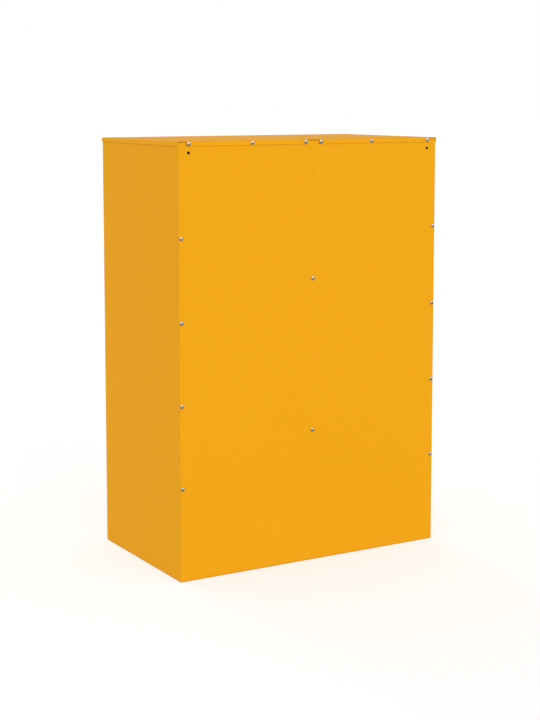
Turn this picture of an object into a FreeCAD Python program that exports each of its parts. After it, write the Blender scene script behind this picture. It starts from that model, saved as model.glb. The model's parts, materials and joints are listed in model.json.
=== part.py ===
import FreeCAD, Part
import math
import os
import re

import Sketcher

# A free-standing steel letterbox cabinet: two columns of three boxes, each with its own door, letter flap,
# cam lock and card holder. The frame has +Z up, the doors face -Y, and the origin is at the middle of the
# cabinet's footprint, on the floor. All sizes are in millimetres.

ROWS = ("bottom", "middle", "top")
SHELVES = ("lower", "upper")
COLUMNS = {"left": -1, "right": 1}

SIZES = [
    ("overall_width", 670, "lid, side to side"),
    ("overall_depth", 384, "lid, front to back"),
    ("overall_height", 950, "floor to the top of the lid"),
    ("gauge", 1, "thickness of every body sheet"),
    ("bend_radius", 1.5, "outside radius of a fold"),
    ("cut_edge_radius", 0.5, "rounding of the back panel's cut edges"),
    ("lid_gap", 0.3, "play between the lid's skirt and the body"),
    ("lid_headroom", 1, "gap between the body's top edges and the lid sheet"),
    ("lid_skirt", 10, "height of the lid's skirt"),
    ("lid_corner_notch", 20, "rear skirt left out at each corner"),
    ("lid_centre_notch", 30, "rear skirt left out in the middle"),
    ("stile_width", 20, "front face of a side panel"),
    ("jamb_depth", 16, "return of a side panel's stile"),
    ("rear_flange", 14, "side panel's flange behind the back panel"),
    ("centre_stile_width", 20, "front face of the centre stile"),
    ("stop_lip", 6, "width of the centre stile's door stop"),
    ("stop_gap", 0.5, "door to door stop"),
    ("divider_flange", 16, "width of the divider's flanges"),
    ("divider_setback", 1, "centre stile's stop lip to the shelf's inner strip"),
    ("bottom_rail", 20, "height of the bottom rail"),
    ("top_rail", 25, "bottom edge of the top rail, from the lid's top"),
    ("shelf_edge", 20, "height of a shelf's front edge"),
    ("edge_return", 16, "depth of the fold under a rail or a shelf's edge"),
    ("shelf_flange", 14, "height of the flanges under a shelf's other edges"),
    ("foot_flange_inset", 30, "end of the divider's foot flange, from each face"),
    ("door_gap", 2, "gap round a door"),
    ("door_depth", 16, "depth of a door's folded edges"),
    ("pivot_inset", 6, "hinge axis, from the door's edge"),
    ("pivot_setback", 4.5, "hinge axis, from the door's face"),
    ("pivot_radius", 2.5, "hinge pin"),
    ("pivot_head_radius", 3.3, "hinge pin's head"),
    ("pivot_head", 2, "height of the hinge pin's head"),
    ("pin_chamfer", 0.6, "chamfer on a hinge pin's end"),
    ("pivot_reach", 4, "hinge pin past the door's fold"),
    ("running_clearance", 0.05, "round a pin or a shaft"),
    ("washer_radius", 5.5, "hinge washer"),
    ("slot_width", 240, "letter slot"),
    ("slot_height", 32, "letter slot"),
    ("slot_drop", 42, "slot's top edge, from the door's top"),
    ("ear_height", 8, "ears that carry the flap's pin"),
    ("ear_nose", 2.6, "ear past the flap's axis"),
    ("ear_radius", 2.3, "rounding of an ear's two front corners"),
    ("flap_gauge", 0.8, "thickness of the flap"),
    ("flap_overlap", 6, "flap past the slot's ends and bottom"),
    ("flap_stand_off", 0.6, "flap to door face"),
    ("flap_side_play", 0.5, "flap's knuckle to an ear"),
    ("flap_shoulder", 6.5, "flap's wide part, below its axis"),
    ("flap_lip", 4.6, "finger lip on the flap's bottom edge"),
    ("flap_bend_radius", 0.6, "outside radius of the lip's fold"),
    ("flap_pin_radius", 1.5, "flap's pin"),
    ("flap_pin_head", 1, "length of the pin's peened end"),
    ("flap_pin_head_radius", 2.2, "radius of the pin's peened end"),
    ("holder_width", 76, "card holder"),
    ("holder_height", 26, "card holder"),
    ("holder_depth", 1.8, "card holder, off the door's face"),
    ("holder_border", 5, "frame round the card holder's window"),
    ("holder_corner", 2.5, "card holder's corner radius"),
    ("holder_drop", 18, "card holder's top edge, from the slot's bottom edge"),
    ("card_lap", 2, "card behind the frame, on each side"),
    ("card_play", 0.2, "card in its pocket"),
    ("card_thickness", 0.6, "card with its clear cover"),
    ("lock_inset", 26, "lock's axis, from the door's free edge"),
    ("lock_face_radius", 11, "lock's outside flange"),
    ("lock_face", 2, "height of the lock's outside flange"),
    ("lock_barrel_radius", 9, "lock's barrel"),
    ("lock_nut_radius", 13, "across the corners of the lock's nut"),
    ("lock_nut", 4, "height of the lock's nut"),
    ("plug_radius", 6.5, "turning plug"),
    ("plug_recess", 0.4, "plug's face behind the lock's face"),
    ("keyway_width", 1.6, "keyway"),
    ("keyway_height", 7.5, "keyway"),
    ("keyway_depth", 8, "keyway"),
    ("cam_gap", 1, "cam to the back of the door stop"),
    ("cam_thickness", 2, "lock cam"),
    ("cam_width", 14, "lock cam"),
    ("cam_corner", 3.5, "lock cam's corner radius"),
    ("cam_reach_gap", 1.5, "tip of a turned cam to the divider"),
    ("cam_screw_head_radius", 4, "cam screw"),
    ("cam_screw_head", 2, "cam screw"),
    ("cam_screw_radius", 2, "cam screw"),
    ("cam_screw_length", 8, "cam screw under its head"),
    ("screw_radius", 2, "body screw"),
    ("screw_length", 8, "body screw under its head"),
    ("screw_head_radius", 4.35, "body screw"),
    ("screw_head", 2.4, "height of a body screw's pan head"),
    ("screw_hole_play", 0.2, "sheet hole round a screw"),
    ("screw_point", 0.5, "chamfer on a body screw's end"),
    ("nut_radius", 3.3, "clinch nut"),
    ("nut_height", 4, "clinch nut"),
    ("nut_chamfer", 0.4, "chamfer round a clinch nut's end"),
    ("recess_width", 0.9, "arm of a screw's cross recess"),
    ("recess_length", 4.6, "screw's cross recess, tip to tip"),
    ("recess_depth", 1.3, "screw's cross recess"),
    ("edge_screw_inset", 5.3, "screws down the back, from the body's edge"),
    ("edge_screw_spacing", 180, "screws down the back"),
    ("lid_screw_drop", 5.5, "lid screws, from the top of the lid"),
    ("lid_screw_inset", 5, "middle lid screws, from the skirt's centre notch"),
    ("anchor_inset", 24.2, "wall-anchor holes, from the body's edge"),
    ("anchor_drop", 24.5, "wall-anchor holes, from the top of the lid"),
    ("anchor_radius", 3.25, "wall-anchor hole"),
    ("pilot_margin", 75, "end pilot holes, from the floor and from the top"),
    ("pilot_radius", 1.25, "pilot hole"),
    ("divider_screw_above", 5.3, "upper divider screw, above the upper shelf"),
    ("divider_screw_below", 29, "lower divider screw, below the lower shelf"),
    ("rivet_radius", 2, "panel rivet"),
    ("rivet_head_radius", 3.5, "panel rivet"),
    ("rivet_head", 1.2, "height of a rivet's head"),
    ("rivet_spacing", 130, "rivets along a flange"),
]

# Places that follow from the sizes, each an expression on them and on earlier places. Widths are measured
# from the middle of the cabinet outwards, the same way in both columns.
PLACES = {
    "half_body": "overall_width / 2 - gauge - lid_gap",
    "back": "overall_depth / 2 - gauge - lid_gap",
    "front": "lid_gap + gauge - overall_depth / 2",
    "body_top": "overall_height - gauge - lid_headroom",
    "opening_top": "overall_height - top_rail",
    "opening": f"(opening_top - bottom_rail - {len(SHELVES)} * shelf_edge) / {len(ROWS)}",
    "pitch": "opening + shelf_edge",
    "jamb": "half_body - stile_width",
    "half_stile": "centre_stile_width / 2",
    "half_divider": "divider_flange / 2",
    "inside_wall": "half_body - gauge",
    "flange_rear": "back - gauge",
    "shelf_rear": "flange_rear - gauge",
    "stop_face": "front + door_depth + stop_gap",
    "shelf_setback": "stop_face + gauge + divider_setback",
    "door_width": "jamb - half_stile - 2 * door_gap",
    "door_height": "opening - 2 * door_gap",
    "pivot": "jamb - door_gap - pivot_inset",
    "slot_middle": "door_width / 2 - pivot_inset",
    "slot_top": "door_height - slot_drop",
    "slot_bottom": "slot_top - slot_height",
    "knuckle_bore": "flap_pin_radius + running_clearance",
    "knuckle": "knuckle_bore + flap_gauge",
    "flap_axis_depth": "-flap_stand_off - knuckle",
    "flap_axis_height": "slot_top - ear_height / 2",
    "flap_bottom": "slot_bottom - flap_overlap",
    "holder_top": "slot_bottom - holder_drop",
    "lock_reach": "door_width - pivot_inset - lock_inset",
    "lock_height": "door_height / 2",
    "cam_depth": "door_depth + stop_gap + gauge + cam_gap",
    "cam_length": "half_stile + door_gap + lock_inset - half_divider - cam_reach_gap",
    "screw_hole": "screw_radius + screw_hole_play",
    "rivet_hole": "rivet_radius + running_clearance",
    "pivot_hole": "pivot_radius + running_clearance",
    "edge_screw": "half_body - edge_screw_inset",
    "anchor": "half_body - anchor_inset",
    "anchor_height": "overall_height - anchor_drop",
    "lid_screw_height": "overall_height - lid_screw_drop",
    "lower_shelf": "bottom_rail + pitch",
    "upper_shelf": "bottom_rail + 2 * pitch",
    "low_divider_screw": "lower_shelf - divider_screw_below",
    "high_divider_screw": "upper_shelf + divider_screw_above",
}

EDGE_SCREW_STEPS = (-1.5, -0.5, 0.5, 1.5)
LID_SCREW_PLACES = ("lid_centre_notch / 2 + lid_screw_inset", "anchor / 2", "anchor")
PILOT_HEIGHTS = ("pilot_margin", "overall_height / 2", "overall_height - pilot_margin")
DIVIDER_SCREWS = [("0", "low_divider_screw"), ("0", "high_divider_screw")]
RIVET_STEPS = (-1, 0, 1)
LOCK_NUT_SIDES = 6

# The share of its own height that the edge of a flat head, and of a domed one, is rounded by.
FLAT_HEAD = 0.5
DOMED_HEAD = 0.7

# Two lengths closer than this, in millimetres, are the same, and so are two volumes.
SAME = 1e-6

doc = FreeCAD.newDocument("letterbox_cabinet")
sheet = doc.addObject("Spreadsheet::Sheet", "Sizes")
for row, (name, number, note) in enumerate(SIZES, 1):
    sheet.set(f"A{row}", name)
    sheet.set(f"B{row}", str(number))
    sheet.set(f"C{row}", note)
    sheet.setAlias(f"B{row}", name)
doc.recompute()

nodes = []


def bound(text):
    """An expression on the sheet's cells, from one written in the names of sizes and places."""

    def swap(match):
        word = match.group()
        if word in PLACES:
            return f"({bound(PLACES[word])})"
        return f"Sizes.{word}"

    return re.sub(r"[a-z_]+", swap, str(text))


def value(text):
    """What an expression comes to now, in millimetres."""
    return float(sheet.evalExpression(bound(text)))


def times(sign, text):
    """The expression on the left (-1) or the right (1) of the middle."""
    return f"{sign} * ({text})"


def span(sign, low, high):
    """Two places across the cabinet, from left to right whichever column they are in."""
    ends = (times(sign, low), times(sign, high))
    return ends if sign > 0 else ends[::-1]


# ---- sketches, pads and pockets ----


def new_template(name):
    """An empty body whose solid is copied into a node, and isn't one itself."""
    body = doc.addObject("PartDesign::Body", name)
    body.Label = name
    return body


def new_body(name):
    """An empty body that becomes the node of this name."""
    body = new_template(name)
    nodes.append(body)
    return body


def new_group(name, solids):
    """A node of separate solids."""
    feature = doc.addObject("Part::Feature", name)
    feature.Label = name
    feature.Shape = Part.makeCompound(solids)
    nodes.append(feature)
    return feature


def copies(template, stands):
    """A template's solid, once at each placement."""
    doc.recompute()
    solids = []
    for placement in stands:
        solid = template.Shape.copy()
        solid.Placement = placement
        solids.append(solid)
    return solids


def place(body, across, depth, height):
    """Stand a body at a place worked out from the sizes."""
    for axis, text in zip("xyz", (across, depth, height)):
        body.setExpression(f"Placement.Base.{axis}", bound(text))


def stand(across, depth, height, turn_axis=(1, 0, 0), turn=0):
    """A placement from three expressions and a turn in degrees."""
    base = FreeCAD.Vector(value(across), value(depth), value(height))
    return FreeCAD.Placement(base, FreeCAD.Rotation(FreeCAD.Vector(*turn_axis), turn))


def disc(across, up, radius):
    """A circle for a sketch."""
    return {"centre": (across, up), "radius": radius}


def discs(places, radius):
    """Circles of one radius for a sketch."""
    return [disc(across, up, radius) for across, up in places]


def block(left, low, right, high):
    """A rectangle for a sketch."""
    return [(left, low), (right, low), (right, high), (left, high)]


def folded(path, hand):
    """The outline of a sheet folded at right angles, from the line of its outer face.

    hand is 1 when the metal lies to the left of that line and -1 when it lies to the right.
    """
    corners = [(value(across), value(up)) for across, up in path]
    normals = []
    for (across, up), (next_across, next_up) in zip(corners, corners[1:]):
        run = math.hypot(next_across - across, next_up - up)
        normals.append((round(-hand * (next_up - up) / run), round(hand * (next_across - across) / run)))
    inner = []
    for number, (across, up) in enumerate(path):
        beside = {normals[max(number - 1, 0)], normals[min(number, len(normals) - 1)]}
        shift_across = sum(normal[0] for normal in beside)
        shift_up = sum(normal[1] for normal in beside)
        inner.append((f"{across} + {shift_across} * gauge", f"{up} + {shift_up} * gauge"))
    return list(path) + inner[::-1]


def pin_down(sketch, shape, vertex, across, up):
    """Hold a point of a sketch at two expressions from the origin."""
    for kind, text in (("DistanceX", across), ("DistanceY", up)):
        number = sketch.addConstraint(Sketcher.Constraint(kind, -1, 1, shape, vertex, value(text)))
        sketch.setExpression(f"Constraints[{number}]", bound(text))


def draw(sketch, loop):
    """Add one closed loop to a sketch, every size of it bound to the sheet."""
    up = FreeCAD.Vector(0, 0, 1)
    if isinstance(loop, dict):
        centre = FreeCAD.Vector(*(value(text) for text in loop["centre"]), 0)
        ring = sketch.addGeometry(Part.Circle(centre, up, value(loop["radius"])), False)
        pin_down(sketch, ring, 3, *loop["centre"])
        number = sketch.addConstraint(Sketcher.Constraint("Radius", ring, value(loop["radius"])))
        sketch.setExpression(f"Constraints[{number}]", bound(loop["radius"]))
        return
    corners = [FreeCAD.Vector(value(across), value(height), 0) for across, height in loop]
    sides = []
    for start, end in zip(corners, corners[1:] + corners[:1]):
        sides.append(sketch.addGeometry(Part.LineSegment(start, end), False))
    for side, following in zip(sides, sides[1:] + sides[:1]):
        sketch.addConstraint(Sketcher.Constraint("Coincident", side, 2, following, 1))
    for side, (across, height) in zip(sides, loop):
        pin_down(sketch, side, 1, across, height)


def new_sketch(body, plane, level, loops):
    """A sketch of closed loops on one of the body's own origin planes, at a level along its normal."""
    sketch = body.newObject("Sketcher::SketchObject", f"{body.Label}_sketch")
    origin = next(face for face in body.Origin.OriginFeatures if face.Role == f"{plane}_Plane")
    sketch.AttachmentSupport = [(origin, "")]
    sketch.MapMode = "FlatFace"
    normal = -1 if plane == "XZ" else 1
    sketch.setExpression("AttachmentOffset.Base.z", bound(times(normal, level)))
    for loop in loops:
        draw(sketch, loop)
    return sketch


def pad(body, plane, start, end, *loops):
    """Fill the loops from one level to a higher one."""
    sketch = new_sketch(body, plane, start, loops)
    feature = body.newObject("PartDesign::Pad", f"{body.Label}_pad")
    feature.Profile = sketch
    feature.setExpression("Length", bound(f"{end} - ({start})"))
    feature.Reversed = plane == "XZ"


def pocket(body, plane, start, end, *loops):
    """Cut the loops out from one level to a higher one, and make sure that metal went."""
    doc.recompute()
    before = body.Shape.Volume
    sketch = new_sketch(body, plane, start, loops)
    feature = body.newObject("PartDesign::Pocket", f"{body.Label}_pocket")
    feature.Profile = sketch
    feature.setExpression("Length", bound(f"{end} - ({start})"))
    feature.Reversed = plane != "XZ"
    doc.recompute()
    if not body.Shape.Volume < before - SAME:
        raise RuntimeError(f"a pocket of {body.Label} cuts nothing")


def rounded(body, radius, lines):
    """Round the straight edges on the lines; a line is its axis and its two other coordinates."""
    doc.recompute()
    base = body.Tip
    picked = []
    for axis, *where in lines:
        others = [other for other in "xyz" if other != axis]
        target = [value(text) for text in where]
        for number, edge in enumerate(base.Shape.Edges, 1):
            ends = [vertex.Point for vertex in edge.Vertexes]
            if len(ends) == 2 and all(
                abs(getattr(end, other) - wanted) < SAME
                for end in ends
                for other, wanted in zip(others, target)
            ):
                picked.append(f"Edge{number}")
    dressed(body, base, picked, "PartDesign::Fillet", "Radius", radius)


def rim(body, axis, level, radius, cut, kind="PartDesign::Fillet"):
    """Round, or chamfer, the round edges of one radius that lie at one level along an axis."""
    doc.recompute()
    base = body.Tip
    picked = []
    for number, edge in enumerate(base.Shape.Edges, 1):
        circle = getattr(edge, "Curve", None)
        if not isinstance(circle, Part.Circle) or abs(circle.Radius - value(radius)) > SAME:
            continue
        if abs(getattr(circle.Center, axis) - value(level)) < SAME:
            picked.append(f"Edge{number}")
    size = "Radius" if kind == "PartDesign::Fillet" else "Size"
    dressed(body, base, picked, kind, size, cut)


def dressed(body, base, picked, kind, size, cut):
    """Add a fillet or a chamfer on the picked edges."""
    if not picked:
        raise RuntimeError(f"{body.Label} has no edge to dress there")
    feature = body.newObject(kind, f"{body.Label}_{size.lower()}")
    feature.Base = (base, picked)
    feature.setExpression(size, bound(cut))


# ---- body of the cabinet ----


def edge_screws(sign):
    """The screws down one side of the back."""
    heights = [f"overall_height / 2 + {step} * edge_screw_spacing" for step in EDGE_SCREW_STEPS]
    return [(times(sign, "edge_screw"), height) for height in heights]


def lid_screws(sign):
    """The screws along one half of the lid's rear skirt."""
    return [(times(sign, across), "lid_screw_height") for across in LID_SCREW_PLACES]


def shelf_rivets(level):
    """The rivets through a shelf's flange, from front to back."""
    return [(f"{step} * rivet_spacing", f"{level}_shelf - shelf_flange / 2") for step in RIVET_STEPS]


def foot_rivets():
    """The rivets through the divider's foot, from front to back."""
    return [("0", f"{step} * rivet_spacing") for step in RIVET_STEPS]


def fixed_pivots():
    """The hinge axes of both columns."""
    return [(times(sign, "pivot"), "front + pivot_setback") for sign in COLUMNS.values()]


def side_panel(column, sign):
    """One sheet: jamb return, front stile, side wall and rear flange, folded from the floor to the lid."""
    path = [
        ("jamb", "front + jamb_depth"),
        ("jamb", "front"),
        ("half_body", "front"),
        ("half_body", "flange_rear"),
        ("half_body - rear_flange", "flange_rear"),
    ]
    outline = [(times(sign, across), depth) for across, depth in folded(path, 1)]
    body = new_body(f"{column}_side_panel")
    pad(body, "XY", "0", "body_top", outline)
    folds = [("z", times(sign, across), depth) for across, depth in path[1:-1]]
    rounded(body, "bend_radius", folds)
    holes = discs(edge_screws(sign), "screw_hole")
    pocket(body, "XZ", "shelf_rear - gauge", "flange_rear + gauge", *holes)


def back_panel():
    """One flat sheet that laps both rear flanges and runs from the floor to just under the lid."""
    body = new_body("back_panel")
    pad(body, "XZ", "back - gauge", "back", block("-half_body", "0", "half_body", "body_top"))
    holes = discs(DIVIDER_SCREWS, "screw_hole")
    for sign in COLUMNS.values():
        holes += discs(edge_screws(sign) + lid_screws(sign), "screw_hole")
        holes.append(disc(times(sign, "anchor"), "anchor_height", "anchor_radius"))
    holes += [disc("0", height, "pilot_radius") for height in PILOT_HEIGHTS]
    pocket(body, "XZ", "back - 2 * gauge", "back + gauge", *holes)
    edges = [("z", times(sign, "half_body"), "back") for sign in COLUMNS.values()]
    rounded(body, "cut_edge_radius", edges)


def lid():
    """A shallow tray, open below, that drops over the body; its rear skirt is in two lengths."""
    body = new_body("lid")
    outside = block("-overall_width / 2", "-overall_depth / 2", "overall_width / 2", "overall_depth / 2")
    pad(body, "XY", "overall_height - lid_skirt", "overall_height", outside)
    half_width = "(overall_width / 2 - gauge)"
    half_depth = "(overall_depth / 2 - gauge)"
    inside = block(f"-{half_width}", f"-{half_depth}", half_width, half_depth)
    pocket(body, "XY", "overall_height - lid_skirt", "overall_height - gauge", inside)
    folds = []
    for sign in COLUMNS.values():
        folds.append(("x", times(sign, "overall_depth / 2"), "overall_height"))
        folds.append(("y", times(sign, "overall_width / 2"), "overall_height"))
        for end in COLUMNS.values():
            folds.append(("z", times(sign, "overall_width / 2"), times(end, "overall_depth / 2")))
    rounded(body, "bend_radius", folds)
    below = "overall_height - lid_skirt - gauge"
    seam = "overall_height - gauge"
    notches = [block("-lid_centre_notch / 2", below, "lid_centre_notch / 2", seam)]
    for sign in COLUMNS.values():
        ends = span(sign, "overall_width / 2 - lid_corner_notch", "overall_width / 2 - gauge")
        notches.append(block(ends[0], below, ends[1], seam))
    pocket(body, "XZ", half_depth, "overall_depth / 2 + gauge", *notches)
    holes = []
    for sign in COLUMNS.values():
        holes += discs(lid_screws(sign), "screw_hole")
    pocket(body, "XZ", f"{half_depth} - gauge", "overall_depth / 2 + gauge", *holes)


def top_rail():
    """A channel between the side panels, under the lid, that carries the top doors' upper pivots."""
    body = new_body("top_rail")
    path = [
        ("front + edge_return", "body_top"),
        ("front", "body_top"),
        ("front", "opening_top"),
        ("front + edge_return", "opening_top"),
    ]
    pad(body, "YZ", "-jamb", "jamb", folded(path, 1))
    rounded(body, "bend_radius", [("x", "front", "opening_top"), ("x", "front", "body_top")])
    holes = discs(fixed_pivots(), "pivot_hole")
    pocket(body, "XY", "opening_top - gauge", "opening_top + 2 * gauge", *holes)


def centre_stile():
    """A hat section between the columns; its lips stop the doors and catch the lock cams."""
    body = new_body("centre_stile")
    path = [
        ("-half_stile - stop_lip", "stop_face"),
        ("-half_stile", "stop_face"),
        ("-half_stile", "front"),
        ("half_stile", "front"),
        ("half_stile", "stop_face"),
        ("half_stile + stop_lip", "stop_face"),
    ]
    pad(body, "XY", "bottom_rail", "opening_top", folded(path, 1))
    rounded(body, "bend_radius", [("z", times(sign, "half_stile"), "front") for sign in COLUMNS.values()])
    notches = []
    for sign in COLUMNS.values():
        ends = span(sign, "half_stile", "half_stile + stop_lip + gauge")
        for level in SHELVES:
            low = f"{level}_shelf - shelf_edge"
            notches.append(block(ends[0], low, ends[1], f"{level}_shelf + door_gap"))
    pocket(body, "XZ", "stop_face - gauge", "stop_face + 2 * gauge", *notches)


def centre_divider():
    """A C section from front to back that stands on the bottom panel and parts the two columns."""
    body = new_body("centre_divider")
    path = [
        ("half_divider", "front + gauge"),
        ("-half_divider", "front + gauge"),
        ("-half_divider", "flange_rear"),
        ("half_divider", "flange_rear"),
    ]
    pad(body, "XY", "bottom_rail", "body_top", folded(path, -1))
    foot = block("-half_divider", "front + foot_flange_inset", "half_divider", "back - foot_flange_inset")
    pad(body, "XY", "bottom_rail", "bottom_rail + gauge", foot)
    corner = block("front", "opening_top", "front + edge_return + gauge", "body_top + gauge")
    pocket(body, "YZ", "-half_divider - gauge", "half_divider + gauge", corner)
    holes = discs(DIVIDER_SCREWS, "screw_hole")
    pocket(body, "XZ", "shelf_rear - gauge", "flange_rear + gauge", *holes)
    holes = []
    for level in SHELVES:
        holes += discs(shelf_rivets(level), "rivet_hole")
    pocket(body, "YZ", "-half_divider - gauge", "-half_divider + 2 * gauge", *holes)
    holes = discs(foot_rivets(), "rivet_hole")
    pocket(body, "XY", "bottom_rail - gauge", "bottom_rail + 2 * gauge", *holes)


def shelf(level, column, sign):
    """A plate with a folded front edge and a flange under each other edge.

    Its outer end is welded to the side panel and its inner end is riveted to the divider.
    """
    body = new_body(f"{level}_{column}_shelf")
    top = f"{level}_shelf"
    inner = "gauge - half_divider" if sign > 0 else "half_divider"
    rear_part = "front + jamb_depth"
    plate = [
        ("half_stile", "front"),
        ("jamb", "front"),
        ("jamb", rear_part),
        ("inside_wall", rear_part),
        ("inside_wall", "shelf_rear"),
        (inner, "shelf_rear"),
        (inner, "shelf_setback"),
        ("half_stile", "shelf_setback"),
    ]
    plate = [(times(sign, across), depth) for across, depth in plate]
    pad(body, "XY", f"{top} - gauge", top, plate)
    flanges = [
        ("inside_wall", rear_part),
        ("inside_wall", "shelf_rear"),
        (inner, "shelf_rear"),
        (inner, "shelf_setback"),
    ]
    flanges = [(times(sign, across), depth) for across, depth in folded(flanges, 1)]
    pad(body, "XY", f"{top} - shelf_flange", top, flanges)
    edge = f"{top} - shelf_edge"
    nose = [("front", top), ("front", edge), ("front + edge_return", edge)]
    pad(body, "YZ", *span(sign, "half_stile", "jamb"), folded(nose, 1))
    rounded(body, "bend_radius", [("x", "front", top), ("x", "front", edge)])
    ends = span(sign, f"{inner} - gauge", f"{inner} + 2 * gauge")
    pocket(body, "YZ", *ends, *discs(shelf_rivets(level), "rivet_hole"))
    pivot = disc(times(sign, "pivot"), "front + pivot_setback", "pivot_hole")
    pocket(body, "XY", f"{edge} - gauge", f"{top} + gauge", pivot)


def bottom_panel():
    """The floor of the bottom boxes and the bottom rail, across both columns, open underneath."""
    body = new_body("bottom_panel")
    pad(body, "XY", "bottom_rail - gauge", "bottom_rail", [
        ("-jamb", "front"),
        ("jamb", "front"),
        ("jamb", "front + jamb_depth"),
        ("inside_wall", "front + jamb_depth"),
        ("inside_wall", "shelf_rear"),
        ("-inside_wall", "shelf_rear"),
        ("-inside_wall", "front + jamb_depth"),
        ("-jamb", "front + jamb_depth"),
    ])
    flanges = [
        ("inside_wall", "front + jamb_depth"),
        ("inside_wall", "shelf_rear"),
        ("-inside_wall", "shelf_rear"),
        ("-inside_wall", "front + jamb_depth"),
    ]
    pad(body, "XY", "bottom_rail - shelf_flange", "bottom_rail", folded(flanges, 1))
    nose = [("front", "bottom_rail"), ("front", "0"), ("front + edge_return", "0")]
    pad(body, "YZ", "-jamb", "jamb", folded(nose, 1))
    rounded(body, "bend_radius", [("x", "front", "bottom_rail"), ("x", "front", "0")])
    holes = discs(fixed_pivots(), "pivot_hole") + discs(foot_rivets(), "rivet_hole")
    pocket(body, "XY", "bottom_rail - 2 * gauge", "bottom_rail + gauge", *holes)


# ---- fasteners and hinge pins ----


def body_screw():
    """A pan-head screw that points along -Y, its head's underside at the origin, with a cross recess."""
    body = new_template("body_screw")
    pad(body, "XZ", "0", "screw_head", disc("0", "0", "screw_head_radius"))
    pad(body, "XZ", "-screw_length", "0", disc("0", "0", "screw_radius"))
    rim(body, "y", "screw_head", "screw_head_radius", f"screw_head * {DOMED_HEAD}")
    rim(body, "y", "-screw_length", "screw_radius", "screw_point", "PartDesign::Chamfer")
    arm = "recess_width / 2"
    tip = "recess_length / 2"
    cross = [(tip, arm), (arm, arm), (arm, tip), (f"-{arm}", tip), (f"-{arm}", arm), (f"-{tip}", arm)]
    cross += [(f"-({across})", f"-({up})") for across, up in cross]
    pocket(body, "XZ", "screw_head - recess_depth", "screw_head + gauge", cross)
    return body


def clinch_nut():
    """A round threaded nut, pressed into the sheet behind a body screw's hole."""
    body = new_template("clinch_nut")
    pad(body, "XZ", "-nut_height", "0", disc("0", "0", "nut_radius"), disc("0", "0", "screw_hole"))
    rim(body, "y", "-nut_height", "nut_radius", "nut_chamfer", "PartDesign::Chamfer")
    return body


def body_screws():
    """The screws of the back panel and of the lid, and the clinch nuts that they turn into."""
    screw = body_screw()
    nut = clinch_nut()
    in_back = list(DIVIDER_SCREWS)
    in_lid = []
    for sign in COLUMNS.values():
        in_back += edge_screws(sign)
        in_lid += lid_screws(sign)
    new_group("back_screws", copies(screw, [stand(across, "back", up) for across, up in in_back]))
    new_group("lid_screws", copies(screw, [stand(across, "overall_depth / 2", up) for across, up in in_lid]))
    nuts = [stand(across, "shelf_rear", up) for across, up in in_back]
    nuts += [stand(across, "back - gauge", up) for across, up in in_lid]
    new_group("clinch_nuts", copies(nut, nuts))


def rivet(name, grip):
    """A rivet along +Z: its shank fills the grip from the origin up, with a domed head at each end."""
    body = new_template(name)
    far_head = f"{grip} + rivet_head"
    pad(body, "XY", "0", grip, disc("0", "0", "rivet_radius"))
    pad(body, "XY", "-rivet_head", "0", disc("0", "0", "rivet_head_radius"))
    pad(body, "XY", grip, far_head, disc("0", "0", "rivet_head_radius"))
    for end in ("-rivet_head", far_head):
        rim(body, "z", end, "rivet_head_radius", f"rivet_head * {DOMED_HEAD}")
    return body


def panel_rivets():
    """Rivets through the shelf flanges and the divider, and through the divider's foot."""
    sideways = []
    for level in SHELVES:
        for depth, height in shelf_rivets(level):
            sideways.append(stand("-half_divider - gauge", depth, height, (0, 1, 0), 90))
    upright = [stand(across, depth, "bottom_rail - gauge") for across, depth in foot_rivets()]
    solids = copies(rivet("shelf_rivet", "3 * gauge"), sideways)
    new_group("panel_rivets", solids + copies(rivet("foot_rivet", "2 * gauge"), upright))


def hinge_hardware():
    """Headed pins above and below each door, and the washers that the doors turn on."""
    pin = new_template("hinge_pin")
    tip = "door_gap + gauge + pivot_reach"
    pad(pin, "XY", "-gauge", tip, disc("0", "0", "pivot_radius"))
    pad(pin, "XY", "-gauge - pivot_head", "-gauge", disc("0", "0", "pivot_head_radius"))
    rim(pin, "z", "-gauge - pivot_head", "pivot_head_radius", f"pivot_head * {FLAT_HEAD}")
    rim(pin, "z", tip, "pivot_radius", "pin_chamfer", "PartDesign::Chamfer")
    washer = new_template("hinge_washer")
    ring = [disc("0", "0", "washer_radius"), disc("0", "0", "pivot_hole")]
    pad(washer, "XY", "0", "door_gap", *ring)
    pins = []
    washers = []
    for where in fixed_pivots():
        for row in range(len(ROWS)):
            floor = f"bottom_rail + {row} * pitch"
            pins.append(stand(*where, floor))
            pins.append(stand(*where, f"{floor} + opening", (1, 0, 0), 180))
            washers.append(stand(*where, floor))
    new_group("hinge_pins", copies(pin, pins))
    new_group("hinge_washers", copies(washer, washers))


# ---- doors; each stands at its hinge axis, door face and bottom edge, and runs towards the middle ----


def at_door(body, sign, row):
    """Stand a piece of a door at the corner that its sizes are measured from."""
    place(body, times(sign, "pivot"), "front", f"bottom_rail + {row} * pitch + door_gap")


def group_on_door(name, templates, sign, row):
    """A node of separate solids that belong together on a door."""
    doc.recompute()
    feature = new_group(name, [template.Shape for template in templates])
    at_door(feature, sign, row)


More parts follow.
